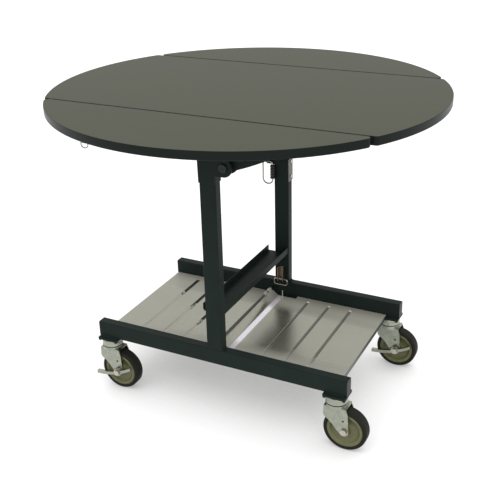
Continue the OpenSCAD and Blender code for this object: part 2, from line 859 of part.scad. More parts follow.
// Section of the tyre: flat tread with rounded shoulders
module tyre() color(rubber)
    translate([trail, 0, axle_z]) rotate([90, 0, 0]) rotate_extrude($fn = wheel_fn) {
        shoulder = 4;
        w = tyre_w / 2;
        r = wheel_d / 2;
        polygon(concat(
            [[hub_r, -w + 2], [hub_r + 2, -w]],
            [for (a = [0:15:90]) [r - shoulder + shoulder * sin(a), -w + shoulder - shoulder * cos(a)]],
            [for (a = [90:-15:0]) [r - shoulder + shoulder * sin(a), w - shoulder + shoulder * cos(a)]],
            [[hub_r + 2, w], [hub_r, w - 2]]));
    }

// Brake lever on the outer end of the axle: a curved bar with a boss
module brake_lever() color(zinc) {
    y = -axle_len / 2 - seat_gap - brake_t / 2;
    path = curve(brake_tip, brake_bend, brake_tail, 10);
    half = 4.2;
    difference() {
        union() {
            translate([trail, 0, axle_z]) xz_plate(y, brake_t) polygon(concat(
                [for (p = path) p + [0, half]],
                [for (i = [len(path) - 1:-1:0]) path[i] - [0, half]]));
            rod_y_axis([trail, y, axle_z], 10.5, brake_t);
        }
        rod_y_axis([trail, y, axle_z], axle_r + run_gap, brake_t + 2);
    }
}

// ---------- the pieces ----------

rail(-1);  // rail_front
rail(1);  // rail_rear
rail_end_caps();
mounting_plates();
caster_races();
king_pins();
race_balls();
post(-1);  // post_front
post(1);  // post_rear
cross_channel();
head(-1);  // head_front
head(1);  // head_rear
rest_pads();
tilt_pins();
shelf_rod();
rod_brackets();
shelf_rests();
hook_bracket();
catch_bracket();
center_board();
center_edging();
tilt_arm(-1);  // tilt_arm_front
tilt_arm(1);  // tilt_arm_rear
crossbars();
center_hinge_plates();
hinge_pins();
frame_screws();
leaf_board(-1);  // front_leaf_board
leaf_edging(-1);  // front_leaf_edging
leaf_hinge_plates(-1);  // front_hinge_plates
pull_clip();
pull_ring();
leaf_board(1);  // rear_leaf_board
leaf_edging(1);  // rear_leaf_edging
leaf_hinge_plates(1);  // rear_hinge_plates
shelf_left();
shelf_left_knuckles();
shelf_right();
shelf_right_knuckles();
hook_loop();
catch_bail();
catch_grip();
at_corner(-1, -1) fork();  // fork_front_left
at_corner(1, -1) fork();  // fork_front_right
at_corner(-1, 1) fork();  // fork_rear_left
at_corner(1, 1) fork();  // fork_rear_right
at_corner(-1, -1) axle(true);  // axle_front_left
at_corner(1, -1) axle(false);  // axle_front_right
at_corner(-1, 1) axle(false);  // axle_rear_left
at_corner(1, 1) axle(true);  // axle_rear_right
at_corner(-1, -1) hub();  // hub_front_left
at_corner(1, -1) hub();  // hub_front_right
at_corner(-1, 1) hub();  // hub_rear_left
at_corner(1, 1) hub();  // hub_rear_right
at_corner(-1, -1) tyre();  // tyre_front_left
at_corner(1, -1) tyre();  // tyre_front_right
at_corner(-1, 1) tyre();  // tyre_rear_left
at_corner(1, 1) tyre();  // tyre_rear_right
at_corner(-1, -1) brake_lever();  // brake_front_left
at_corner(1, 1) brake_lever();  // brake_rear_right
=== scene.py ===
# %% [markdown]
# # Room service table
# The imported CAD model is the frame: every board, tube and caster is already in its place, at
# its real size. This notebook dresses it. Sharp CAD edges are rounded, pressed and turned
# parts are modelled again, welds and screws are added, each surface gets the finish of the
# real one, and the table stands on a pale floor.

# %% Load the frame
import json
from math import atan2, cos, hypot, pi, radians, sin

import bpy
from mathutils import Matrix, Vector

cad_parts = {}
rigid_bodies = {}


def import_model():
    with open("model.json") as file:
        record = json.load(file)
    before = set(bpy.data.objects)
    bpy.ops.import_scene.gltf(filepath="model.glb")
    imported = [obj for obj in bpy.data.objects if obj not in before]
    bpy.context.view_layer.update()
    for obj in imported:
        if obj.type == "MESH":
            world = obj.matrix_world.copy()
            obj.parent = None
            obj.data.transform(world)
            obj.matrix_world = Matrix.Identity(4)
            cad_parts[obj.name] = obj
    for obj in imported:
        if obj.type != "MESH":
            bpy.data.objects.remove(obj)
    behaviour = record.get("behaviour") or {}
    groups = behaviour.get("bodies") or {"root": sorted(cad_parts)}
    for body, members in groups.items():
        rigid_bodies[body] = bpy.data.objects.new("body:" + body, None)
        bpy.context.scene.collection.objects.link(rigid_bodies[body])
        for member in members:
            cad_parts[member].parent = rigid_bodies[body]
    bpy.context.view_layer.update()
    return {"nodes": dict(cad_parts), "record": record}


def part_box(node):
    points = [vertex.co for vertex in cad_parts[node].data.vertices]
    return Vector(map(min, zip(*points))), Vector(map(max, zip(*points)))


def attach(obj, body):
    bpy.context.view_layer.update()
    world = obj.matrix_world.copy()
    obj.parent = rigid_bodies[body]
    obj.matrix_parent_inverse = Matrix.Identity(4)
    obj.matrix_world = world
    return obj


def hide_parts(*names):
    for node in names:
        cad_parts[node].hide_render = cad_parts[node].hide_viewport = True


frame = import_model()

mm = 0.001

# %% [markdown]
# ## The camera
# A product photographer stood a little to the right of the table, looked down on it and used a
# long lens, so the round top shows as a wide ellipse. The camera could be set by eye, but the
# rails, the posts and the rim of the top fix it much better: their places in the photograph
# were solved for the camera's place, its turn and its focal length.

# %% Camera at the photograph's view
picture_px = 500
focal_px = 843.19
optical_axis_px = (242.982, 242.593)
camera_place = Vector((848.96, -1692.17, 1232.88)) * mm
yaw, pitch, roll = -0.4757, 0.4257, -0.0277

forward = Vector((sin(yaw) * cos(pitch), cos(yaw) * cos(pitch), -sin(pitch)))
level = Vector((cos(yaw), -sin(yaw), 0))
above = level.cross(forward)
right = level * cos(roll) + above * sin(roll)
up = above * cos(roll) - level * sin(roll)

bpy.ops.object.select_all(action="DESELECT")
bpy.ops.object.camera_add(location=camera_place)
camera = bpy.context.object
camera.name = "photo_camera"
camera.rotation_euler = Matrix((right, up, -forward)).transposed().to_euler()
camera.data.sensor_width = 36
camera.data.lens = focal_px * camera.data.sensor_width / picture_px
camera.data.shift_x = (picture_px / 2 - optical_axis_px[0]) / picture_px
camera.data.shift_y = (optical_axis_px[1] - picture_px / 2) / picture_px
bpy.context.scene.camera = camera
print("lens mm:", round(camera.data.lens, 2))

# %% [markdown]
# ## Floor and light
# Such a photograph is taken in a white sweep, where floor and wall run into each other, under
# large soft lamps. A curved backdrop could be modelled, but a flat floor that glows a little
# and a white world look the same from every side. The wide lamps and the glow wash the shadow
# of the top out. The glow is dimmed where the Ambient Occlusion node finds the floor covered
# within a short reach, which paints a grey shade close under the shelf and round the wheels.

# %% Helpers for nodes and colours
def linear(hex_colour):
    """The linear RGBA of an sRGB hex colour."""
    parts = [int(hex_colour[i:i + 2], 16) / 255 for i in (1, 3, 5)]
    return tuple(c / 12.92 if c < 0.04045 else ((c + 0.055) / 1.055) ** 2.4 for c in parts) + (1,)


def add(tree, kind, inputs=None, **settings):
    """Adds a node. inputs gives each socket its value, or the output that feeds it."""
    made = tree.nodes.new(kind)
    for key, value in settings.items():
        setattr(made, key, value)
    for key, value in (inputs or {}).items():
        if isinstance(value, bpy.types.NodeSocket):
            tree.links.new(value, made.inputs[key])
        else:
            made.inputs[key].default_value = value
    return made


def calculate(tree, operation, *values):
    """The result of a Math node."""
    return add(tree, "ShaderNodeMath", dict(enumerate(values)), operation=operation).outputs[0]


def seen_directly(tree):
    """1 for rays from the camera, metal and glass, 0 for the rays that carry light around."""
    rays = add(tree, "ShaderNodeLightPath").outputs
    seen = calculate(tree, "MAXIMUM", rays["Is Camera Ray"], rays["Is Glossy Ray"])
    return calculate(tree, "MAXIMUM", seen, rays["Is Transmission Ray"])


def empty_tree(owner):
    """The cleared node tree of a material or world."""
    owner.use_nodes = True
    owner.node_tree.nodes.clear()
    return owner.node_tree


print("mid grey:", [round(c, 3) for c in linear("#808080")])

# %% Floor
floor_width = 40
shade_reach = 300 * mm
covered, uncovered = 0.25, 0.88     # what the Ambient Occlusion node says there
shade_glow, open_glow = 0.32, 0.85

bpy.ops.object.select_all(action="DESELECT")
bpy.ops.mesh.primitive_plane_add(size=floor_width, location=(0, 0, 0))
floor = bpy.context.object
floor.name = "studio_floor"

floor_material = bpy.data.materials.new("white_paper_sweep")
tree = empty_tree(floor_material)
# Only what the camera, metal and glass see glows. All other light meets plain grey paper.
plain_paper = add(tree, "ShaderNodeBsdfDiffuse", {"Color": (0.62, 0.62, 0.62, 1)})
seen_paper = add(tree, "ShaderNodeBsdfDiffuse", {"Color": (0.35, 0.35, 0.35, 1)})
cover = add(tree, "ShaderNodeAmbientOcclusion", {"Distance": shade_reach}, samples=8)
# The glow is dimmed where the floor is covered: painted shade under the shelf and the wheels.
brightness = add(tree, "ShaderNodeMapRange", {0: cover.outputs["AO"], 1: covered, 2: uncovered,
                                              3: shade_glow, 4: open_glow})
glow = add(tree, "ShaderNodeEmission", {"Color": (1, 1, 1, 1), "Strength": brightness.outputs[0]})
lit_paper = add(tree, "ShaderNodeAddShader", {0: seen_paper.outputs[0], 1: glow.outputs[0]})
from_above = add(tree, "ShaderNodeMixShader", {0: seen_directly(tree), 1: plain_paper.outputs[0],
                                               2: lit_paper.outputs[0]})
# Seen from below the floor is clear, so that the underside of the table can be looked at.
side = add(tree, "ShaderNodeNewGeometry")
clear = add(tree, "ShaderNodeBsdfTransparent")
both = add(tree, "ShaderNodeMixShader", {0: side.outputs["Backfacing"], 1: from_above.outputs[0],
                                         2: clear.outputs[0]})
add(tree, "ShaderNodeOutputMaterial", {"Surface": both.outputs[0]})
floor.data.materials.append(floor_material)
print("floor:", floor.dimensions[:])

# %% World and lamps
world = bpy.data.worlds.new("white_studio")
bpy.context.scene.world = world
tree = empty_tree(world)
ambient = add(tree, "ShaderNodeBackground", {"Color": (1, 1, 1, 1), "Strength": 0.85})
white = add(tree, "ShaderNodeBackground", {"Color": (1, 1, 1, 1), "Strength": 1.0})
sky = add(tree, "ShaderNodeMixShader", {0: seen_directly(tree), 1: ambient.outputs[0],
                                        2: white.outputs[0]})
add(tree, "ShaderNodeOutputWorld", {"Surface": sky.outputs[0]})


def soft_sun(name, azimuth, elevation, strength, spread):
    """Adds a sun as wide as a studio lamp, even all over the floor. Angles are in degrees, and
    azimuth 0 is in front of the table."""
    bpy.ops.object.select_all(action="DESELECT")
    bpy.ops.object.light_add(type="SUN", location=(0, 0, 3))
    lamp = bpy.context.object
    lamp.name = name
    to_lamp = Vector((sin(radians(azimuth)) * cos(radians(elevation)),
                      -cos(radians(azimuth)) * cos(radians(elevation)), sin(radians(elevation))))
    lamp.rotation_euler = to_lamp.to_track_quat("Z", "Y").to_euler()
    lamp.data.energy = strength
    lamp.data.angle = radians(spread)


soft_sun("overhead_softbox", -25, 66, 0.45, 45)
soft_sun("front_fill", 45, 35, 0.12, 60)
# A small bare lamp beside the camera gives plated metal its hard glints.
soft_sun("spark_lamp", 40, 48, 0.22, 4)

bpy.context.scene.view_settings.view_transform = "Standard"

# %% [markdown]
# ## Finishes
# Each finish starts from what the real surface is and how it was made. All patterns read the
# Object coordinates, which are metres on the table itself, so a grain that is 3 mm wide on the
# real part is written as 3 mm here. Numbers that are the same all over sit on the shader.

# %% Helpers for finishes
def finish(name, **shader):
    """A new material and its tree, with one Principled BSDF whose sockets are set by name."""
    material = bpy.data.materials.new(name)
    tree = empty_tree(material)
    bsdf = add(tree, "ShaderNodeBsdfPrincipled",
               {socket.replace("_", " "): value for socket, value in shader.items()})
    add(tree, "ShaderNodeOutputMaterial", {"Surface": bsdf.outputs[0]})
    return material, tree, bsdf, add(tree, "ShaderNodeTexCoord").outputs["Object"]


def noise(tree, where, size, detail, roughness=0.5):
    """A noise mask whose features are size millimetres wide, on coordinates in metres."""
    return add(tree, "ShaderNodeTexNoise", {"Vector": where, "Scale": 1000 / size,
                                            "Detail": detail, "Roughness": roughness}).outputs[0]


def blend(tree, share, first, second):
    """A mask that is first, with the given share of second mixed in."""
    return add(tree, "ShaderNodeMix", {0: share, 2: first, 3: second}).outputs[0]


def ramp(tree, value, start, end, low=0.0, high=1.0, **settings):
    """Runs from low to high as value goes from start to end, and is level beyond them."""
    return add(tree, "ShaderNodeMapRange", {0: value, 1: start, 2: end, 3: low, 4: high},
               **settings).outputs[0]


def tint(tree, mask, first, second):
    """The colour that runs from first to second as mask goes from 0 to 1."""
    return add(tree, "ShaderNodeMix", {0: mask, 6: first, 7: second},
               data_type="RGBA").outputs[2]


def two_tone(tree, bsdf, mask, first, second):
    """Base colour that runs from one hex colour to another as mask goes from 0 to 1."""
    tree.links.new(tint(tree, mask, linear(first), linear(second)), bsdf.inputs["Base Color"])


def relief(tree, bsdf, height, depth_mm, strength):
    """Bump of a real depth on the shader's normal."""
    bump = add(tree, "ShaderNodeBump", {"Height": height, "Strength": strength,
                                        "Distance": depth_mm * mm})
    tree.links.new(bump.outputs[0], bsdf.inputs["Normal"])


def spread(tree, bsdf, mask, low, high):
    """Roughness that runs from low to high as mask goes from 0 to 1."""
    tree.links.new(ramp(tree, mask, 0.0, 1.0, low, high), bsdf.inputs["Roughness"])


finishes = {}
print("finishes so far:", len(finishes))

# %% [markdown]
# The frame is powder coated: dry paint is sprayed on the welded steel and baked. It gives a
# dark satin skin with a faint orange peel, no brush marks, and a duller bloom here and there
# where hands and cloths have rubbed it. Glossy black would be too bright at the edges.

# %% Powder coat
powder, tree, bsdf, where = finish("satin_powder_coat", Specular_IOR_Level=0.06)
bloom = noise(tree, where, 70, 5.0)
two_tone(tree, bsdf, bloom, "#1f2826", "#29332f")
spread(tree, bsdf, bloom, 0.34, 0.52)
peel = noise(tree, where, 2.5, 1.0)
relief(tree, bsdf, peel, 0.10, 0.35)
finishes["black_paint"] = powder

# %% [markdown]
# The boards are faced with high pressure laminate, paper pressed in resin against a suede
# steel plate. It gives an even olive grey with a fine speckle of the printed paper, and a
# satin sheen that grows towards the far side. Underneath is a plain brown backer sheet, which
# keeps the board from warping.

# %% Laminate and backer
laminate, tree, bsdf, where = finish("high_pressure_laminate", Specular_IOR_Level=0.05)
cloud = noise(tree, where, 180, 3.0)
# The print's flecks are 0.5 mm, too fine for the picture, so they are drawn 2 mm wide.
fleck = noise(tree, where, 2, 2.0)
shade = blend(tree, 0.35, cloud, fleck)
two_tone(tree, bsdf, shade, "#4b4d41", "#585a4c")
spread(tree, bsdf, cloud, 0.42, 0.50)
relief(tree, bsdf, fleck, 0.06, 0.25)
finishes["laminate"] = laminate

backer, tree, bsdf, where = finish("phenolic_backer_sheet", Specular_IOR_Level=0.25)
fibre = noise(tree, where, 6, 6.0)
two_tone(tree, bsdf, fibre, "#3b2f26", "#4a3d31")
spread(tree, bsdf, fibre, 0.5, 0.65)
relief(tree, bsdf, fibre, 0.08, 0.3)

# %% [markdown]
# The rim is a vinyl moulding, extruded as one long strip and pressed into the board's edge.
# The die leaves fine lines that run along it, so its noise is stretched round the rim: many
# lines up its height, none along it. They soften the highlight on its rounded edges.

# %% Vinyl moulding and nylon caps
vinyl, tree, bsdf, where = finish("extruded_vinyl", Specular_IOR_Level=0.1)
lengthwise = add(tree, "ShaderNodeMapping", {"Vector": where, "Scale": (0.02, 0.02, 1.0)})
line = noise(tree, lengthwise.outputs[0], 1.2, 3.0)
two_tone(tree, bsdf, line, "#151b19", "#1d2421")
spread(tree, bsdf, line, 0.26, 0.40)
relief(tree, bsdf, line, 0.05, 0.3)
finishes["edge_moulding"] = vinyl

nylon, tree, bsdf, where = finish("moulded_nylon", Specular_IOR_Level=0.3)
grain = noise(tree, where, 1, 2.0)
two_tone(tree, bsdf, grain, "#151918", "#1c2120")
spread(tree, bsdf, grain, 0.42, 0.55)
relief(tree, bsdf, grain, 0.08, 0.4)
finishes["black_plastic"] = nylon

# %% [markdown]
# The casters are stamped steel, zinc plated in a barrel and dipped in yellow-green passivate.
# Two layers of noise make it: large soft clouds where the dip dried unevenly, and short
# drawing marks from the press. Both change the roughness, so the highlights break up.

# %% Zinc plate
zinc, tree, bsdf, where = finish("zinc_plated_steel", Metallic=1.0)
cloud = noise(tree, where, 14, 5.0, roughness=0.6)
two_tone(tree, bsdf, cloud, "#82887a", "#b2b5a8")
drawn = add(tree, "ShaderNodeMapping", {"Vector": where, "Scale": (1.0, 1.0, 0.12)})
mark = noise(tree, drawn.outputs[0], 1.5, 3.0)
wear = blend(tree, 0.5, cloud, mark)
spread(tree, bsdf, wear, 0.14, 0.40)
relief(tree, bsdf, mark, 0.04, 0.3)
finishes["zinc"] = zinc

# %% [markdown]
# The shelf is satin steel sheet, rolled with a fine grain that runs across the table. Its
# middle still mirrors the rear post softly. Boxes slide in over the edges, so a margin there
# is scuffed dull and mirrors nothing: one mask of place and noise makes the sheet rougher,
# lighter and less metallic towards its edges. A polished strip runs beside the rod, where the
# panel is pressed flat again after the fold, and its nearly white colour is a painted highlight.

# %% Satin sheet
scuff_start, scuff_end, scuff_waver = 85 * mm, 135 * mm, 9 * mm     # from the middle along Y
strip_left, strip_right = -3 * mm, 12 * mm                          # the polished strip


def sheet_base(name):
    """The satin sheet, returned as its material, tree and shader, the Object coordinates,
    the places along X and Y, and the colour of the clean sheet with its painted highlight."""
    material, tree, bsdf, where = finish(name)
    rolled = add(tree, "ShaderNodeMapping", {"Vector": where, "Scale": (1.0, 0.03, 1.0)})
    # The rolling lines are 0.2 mm apart, and are drawn at 1.2 mm so that they show.
    line = noise(tree, rolled.outputs[0], 1.2, 4.0)
    smear = noise(tree, where, 80, 5.0)
    apart = add(tree, "ShaderNodeSeparateXYZ", {0: where})
    x, y = apart.outputs[0], apart.outputs[1]
    waver = ramp(tree, smear, 0.0, 1.0, -scuff_waver, scuff_waver)
    margin = calculate(tree, "ADD", calculate(tree, "ABSOLUTE", y), waver)
    scuff = ramp(tree, margin, scuff_start, scuff_end, interpolation_type="SMOOTHSTEP")
    spread(tree, bsdf, scuff, 0.27, 0.6)
    tree.links.new(ramp(tree, scuff, 0.0, 1.0, 0.9, 0.15), bsdf.inputs["Metallic"])
    relief(tree, bsdf, line, 0.01, 0.2)
    clean = tint(tree, blend(tree, 0.5, line, smear), linear("#99988b"), linear("#acab9f"))
    scuffed = tint(tree, scuff, clean, linear("#bbbaad"))
    # Nearly white beside the rod: a painted highlight on the polished strip.
    polished_strip_highlight = calculate(tree, "MULTIPLY",
                         ramp(tree, x, strip_left - 1 * mm, strip_left + 1 * mm),
                         ramp(tree, x, strip_right - 2 * mm, strip_right + 2 * mm, 1.0, 0.0))
    colour = tint(tree, polished_strip_highlight, scuffed, linear("#eeeaf2"))
    tree.links.new(colour, bsdf.inputs["Base Color"])
    return material, tree, bsdf, where, x, y, colour


finishes["shelf_steel"] = sheet_base("satin_steel_sheet")[0]
print("sheet:", finishes["shelf_steel"].name)

# %% [markdown]
# The pressed beads are darkened with painted shade. On the left panel they are black towards
# the rear and clean in front, and the border runs slantwise over the three beads. On the right
# panel the painted shade is weaker. One mask says where the shade lies from the place on the
# table, and noise frays its ends.

# %% Painted shade in the beads
left_beads_x, bead_pitch = (-249 * mm, -189 * mm, -129 * mm), 60 * mm
bead_rear_end = 157 * mm

# A copy of the sheet whose beads are darkened with painted shade.
bead_shade_sheet, tree, bsdf, where, x, y, clean = sheet_base("satin_steel_sheet_painted_shade")
# The painted shade's border lies at y = 63 mm on the leftmost bead, x = -249 mm, and moves
# 0.87 mm forward for each mm to the right.
slant = calculate(tree, "MULTIPLY_ADD", x, 0.87, y)
frayed = ramp(tree, noise(tree, where, 14, 3.0), 0.3, 0.7, -30 * mm, 30 * mm)
rear = ramp(tree, calculate(tree, "ADD", slant, frayed), -160 * mm, -140 * mm)
fading = ramp(tree, y, -130 * mm, -70 * mm)
# The painted shade is weaker on the right panel.
thick = ramp(tree, x, -60 * mm, 0.0, 1.0, 0.62)
painted_shade = calculate(tree, "MULTIPLY", calculate(tree, "MULTIPLY", rear, fading), thick)
# The painted shade spreads 5 mm to either side of each left bead. PINGPONG folds x into the
# distance from the nearest multiple of the pitch, and a second mask keeps the three real beads.
# On the right the painted shade stays inside the beads.
from_first = calculate(tree, "ADD", x, -left_beads_x[0])
from_bead = calculate(tree, "PINGPONG", from_first, bead_pitch / 2)
near = ramp(tree, from_bead, 4.6 * mm, 5.8 * mm, 1.0, 0.0)
from_middle_bead = calculate(tree, "ABSOLUTE", calculate(tree, "ADD", x, -left_beads_x[1]))
real = calculate(tree, "LESS_THAN", from_middle_bead, 70 * mm)
lies = calculate(tree, "MAXIMUM", calculate(tree, "MULTIPLY", near, real),
                 calculate(tree, "GREATER_THAN", x, 0.0))
painted_shade = calculate(tree, "MULTIPLY", painted_shade, lies)
painted_shade = calculate(tree, "MULTIPLY", painted_shade, calculate(tree, "LESS_THAN", y, bead_rear_end))
# The mask darkens the sheet's colour: painted shade in the beads.
tree.links.new(tint(tree, painted_shade, clean, linear("#1b1a17")), bsdf.inputs["Base Color"])
print("bead_shade:", bead_shade_sheet.name, "on beads at", [round(at / mm) for at in left_beads_x])

# %% Drawn wire
wire, tree, bsdf, where = finish("drawn_steel_wire", Metallic=1.0)
stain = noise(tree, where, 9, 4.0)
two_tone(tree, bsdf, stain, "#4a4b48", "#6b6c68")
spread(tree, bsdf, stain, 0.28, 0.45)
finishes["dark_steel"] = wire

# %% [markdown]
# The hook's clevis has a yellow passivate on its zinc. That film is thinner than light's
# wavelength, so its colour drifts from copper pink to olive with its thickness. A mask made
# from the place along the clevis and a little noise moves one colour into the other. The
# caster nuts are nickel plated, brighter and warmer. Bolts on the frame are blackened.

# %% Passivate, nickel and blackened steel
passivate, tree, bsdf, where = finish("yellow_passivated_steel", Metallic=1.0)
drift = noise(tree, where, 12, 3.0)
apart = add(tree, "ShaderNodeSeparateXYZ", {0: where})
across = ramp(tree, apart.outputs[0], -8 * mm, 8 * mm, -0.1, 1.1)
two_tone(tree, bsdf, blend(tree, 0.25, across, drift), "#a88f84", "#8b8d78")
spread(tree, bsdf, drift, 0.22, 0.42)
finishes["passivated"] = passivate

nickel, tree, bsdf, where = finish("nickel_plated_steel", Metallic=1.0)
haze = noise(tree, where, 5, 3.0)
two_tone(tree, bsdf, haze, "#aaa29b", "#cdc5be")
spread(tree, bsdf, haze, 0.16, 0.34)

blackened, tree, bsdf, where = finish("oil_blackened_steel", Metallic=1.0)
oil = noise(tree, where, 6, 4.0)
two_tone(tree, bsdf, oil, "#262b2a", "#383d3b")
spread(tree, bsdf, oil, 0.34, 0.5)

# %% [markdown]
# Rubber is matt and picks up dust: the tyres are a dark grey compound with scuffed treads,
# the pads and the sleeve a plain black one. The hubs are olive nylon, moulded with a fine
# flow pattern. None is shiny, yet a little gloss is left so that curves can be read. The
# push rivets of the shelf are white nylon, whose white is a painted highlight for the glints.

# %% Rubbers and nylons
tyre_rubber, tree, bsdf, where = finish("grey_tyre_rubber", Specular_IOR_Level=0.08)
dust = noise(tree, where, 11, 7.0, roughness=0.65)
two_tone(tree, bsdf, dust, "#20211c", "#30312a")
spread(tree, bsdf, dust, 0.45, 0.7)
relief(tree, bsdf, dust, 0.15, 0.35)
finishes["tyre"] = tyre_rubber

rubber, tree, bsdf, where = finish("black_moulded_rubber", Specular_IOR_Level=0.4)
dust = noise(tree, where, 4, 4.0)
two_tone(tree, bsdf, dust, "#1b1b18", "#282824")
spread(tree, bsdf, dust, 0.35, 0.55)
relief(tree, bsdf, dust, 0.08, 0.3)
finishes["rubber"] = rubber

hub_nylon, tree, bsdf, where = finish("olive_moulded_nylon", Specular_IOR_Level=0.5)
flow = noise(tree, where, 10, 5.0)
two_tone(tree, bsdf, flow, "#5e603a", "#7b7b56")
spread(tree, bsdf, flow, 0.30, 0.48)
relief(tree, bsdf, flow, 0.08, 0.25)
finishes["hub"] = hub_nylon

# Its white stands in for the glint at each bead's end: a painted highlight.
glint_white_nylon, tree, bsdf, where = finish("glint_white_nylon", Specular_IOR_Level=0.5)
skin = noise(tree, where, 2, 2.0)
two_tone(tree, bsdf, skin, "#e6e3da", "#f2efe8")
spread(tree, bsdf, skin, 0.3, 0.4)
print("finishes:", sorted(finishes))

# %% [markdown]
# ## From CAD solid to finished part
# A CAD solid has knife-sharp edges, and no real part has: a tube is rolled, a board is routed,
# sheet is tumbled before it is plated. The parts could all be modelled again, but where their
# shapes are right, a copy of each is merged, its flat faces are joined, and a bevel rounds its
# edges as much as the real process does. The rounded edge is what catches the light.

# %% Helpers that turn a CAD part into a finished one
slot_of = {part["node"]: part["material_slot"] for part in frame["record"]["subparts"]}


def body_of(node):
    """The body that a CAD node rides on."""
    return next(name for name, nodes in frame["record"]["behaviour"]["bodies"].items()
                if node in nodes)


def only(*pieces):
    """Makes these the only selected objects, the first one active."""
    bpy.ops.object.select_all(action="DESELECT")
    for piece in pieces:
        piece.select_set(True)
    bpy.context.view_layer.objects.active = pieces[0]


def apply_modifier(piece, kind, **settings):
    """Adds a modifier to piece, sets it and applies it."""
    only(piece)
    modifier = piece.modifiers.new(kind.lower(), kind)
    for key, value in settings.items():
        setattr(modifier, key, value)
    bpy.ops.object.modifier_apply(modifier=modifier.name)


def edit(piece, part, chosen):
    """Opens piece in edit mode with its vertices, edges or faces chosen by a test on each."""
    only(piece)
    bpy.ops.object.mode_set(mode="EDIT")
    bpy.ops.mesh.select_mode(type={"vertices": "VERT", "edges": "EDGE", "polygons": "FACE"}[part])
    bpy.ops.mesh.select_all(action="DESELECT")
    bpy.ops.object.mode_set(mode="OBJECT")
    count = 0
    for item in getattr(piece.data, part):
        item.select = bool(chosen(item))
        count += item.select
    bpy.ops.object.mode_set(mode="EDIT")
    return count


def done():
    """Back to object mode."""
    bpy.ops.object.mode_set(mode="OBJECT")


def bevel_edges(piece, chosen, width, segments=4):
    """Rounds the edges that pass the test. The test gets the two end points in mm."""
    points = [v.co / mm for v in piece.data.vertices]
    count = edit(piece, "edges", lambda e: chosen(points[e.vertices[0]], points[e.vertices[1]]))
    if count:
        bpy.ops.mesh.bevel(offset=width * mm, segments=segments, affect="EDGES",
                           offset_type="OFFSET", clamp_overlap=True)
    done()
    return count


def smooth(piece, angle=35):
    """Smooth shading that stops at edges sharper than angle and keeps flat faces flat."""
    only(piece)
    bpy.ops.object.shade_smooth_by_angle(angle=radians(angle))
    apply_modifier(piece, "WEIGHTED_NORMAL", keep_sharp=True)


def place(piece, body, slot, *nodes, material=None):
    """Rides piece on body in the finish of its slot, and lets it stand for the CAD nodes."""
    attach(piece, body)
    piece.data.materials.clear()
    piece.data.materials.append(material or finishes[slot])
    if nodes:
        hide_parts(*nodes)


def merged_copy(node, name):
    """A copy of a CAD node whose loose triangles are joined into whole faces."""
    only(frame["nodes"][node])
    bpy.ops.object.duplicate()
    piece = bpy.context.object
    piece.name = piece.data.name = name
    for key in list(piece.keys()):
        del piece[key]
    bpy.ops.object.parent_clear(type="CLEAR_KEEP_TRANSFORM")
    bpy.ops.mesh.customdata_custom_splitnormals_clear()
    bpy.ops.object.mode_set(mode="EDIT")
    bpy.ops.mesh.select_all(action="SELECT")
    bpy.ops.mesh.remove_doubles(threshold=0.004 * mm)
    bpy.ops.mesh.dissolve_limited(angle_limit=radians(0.2))
    done()
    return piece


def soften(piece, width, segments=3, angle=32):
    """Rounds all edges sharper than angle to width and shades the piece smooth."""
    if width:
        apply_modifier(piece, "BEVEL", width=width * mm, segments=segments,
                       limit_method="ANGLE", angle_limit=radians(angle),
                       use_clamp_overlap=True, miter_outer="MITER_ARC")
    smooth(piece)


def rounded(node, width, segments=3, angle=32, material=None):
    """The merged copy of a CAD node with its edges rounded to width, placed on its body."""
    piece = merged_copy(node, node + "_finished")
    soften(piece, width, segments, angle)
    place(piece, body_of(node), slot_of[node], node, material=material)
    return piece


print("slots:", sorted(set(slot_of.values())))

# %% [markdown]
# ## Top
# Three boards make the round top. The saw leaves the laminate's edge crisp, with only the
# finest break. The backer sheet is the lowest skin of the same board, so it is a second
# material on the faces that look down, not a piece of its own.

# %% Boards
for node in ("center_board", "front_leaf_board", "rear_leaf_board"):
    board = rounded(node, 0.3, segments=2)
    board.data.materials.append(backer)
    for face in board.data.polygons:
        if face.normal.z < -0.9:
            face.material_index = 1
    print(node, len(board.data.polygons), "faces")

# %% [markdown]
# The moulding is pressed on before the laminate is glued over board and moulding together and
# trimmed, so the sheet runs right to the rim and to the seams, and only a fine dark edge shows
# round it. The moulding's flat upper faces therefore carry the laminate. Its outer edges are
# rounded a little above and more below, and the edges along the board stay tight.

# %% Mouldings
def outer_edges(piece, upward):
    """Keys of the edges where the top, or the bottom, meets a side that faces outward."""
    middle = sum((v.co for v in piece.data.vertices), Vector()) / len(piece.data.vertices)
    flat, outer = set(), set()
    for face in piece.data.polygons:
        if face.normal.z * upward > 0.9:
            flat.update(face.edge_keys)
        elif abs(face.normal.z) < 0.1 and face.normal.dot(face.center - middle) > 0:
            outer.update(face.edge_keys)
    return flat & outer


for node in ("center_edging", "front_leaf_edging", "rear_leaf_edging"):
    moulding = merged_copy(node, node + "_moulded")
    for upward, radius in ((1, 1.0), (-1, 3.0)):
        rim = outer_edges(moulding, upward)
        count = edit(moulding, "edges", lambda e: e.key in rim)
        bpy.ops.mesh.bevel(offset=radius * mm, segments=5, affect="EDGES", clamp_overlap=True)
        done()
    smooth(moulding)
    place(moulding, body_of(node), slot_of[node], node)
    moulding.data.materials.append(laminate)
    for face in moulding.data.polygons:
        if face.normal.z > 0.999:
            face.material_index = 1
    print(node, count, "rim edges,", len(moulding.data.polygons), "faces")

# %% [markdown]
# ## Frame
# Rails and posts are rectangular tube, whose CAD section already has the rolled corners. Heads,
# plates, arms and lugs are cut plate, deburred before coating. Each gets the edge radius that
# its process leaves, so one table of widths serves them all.

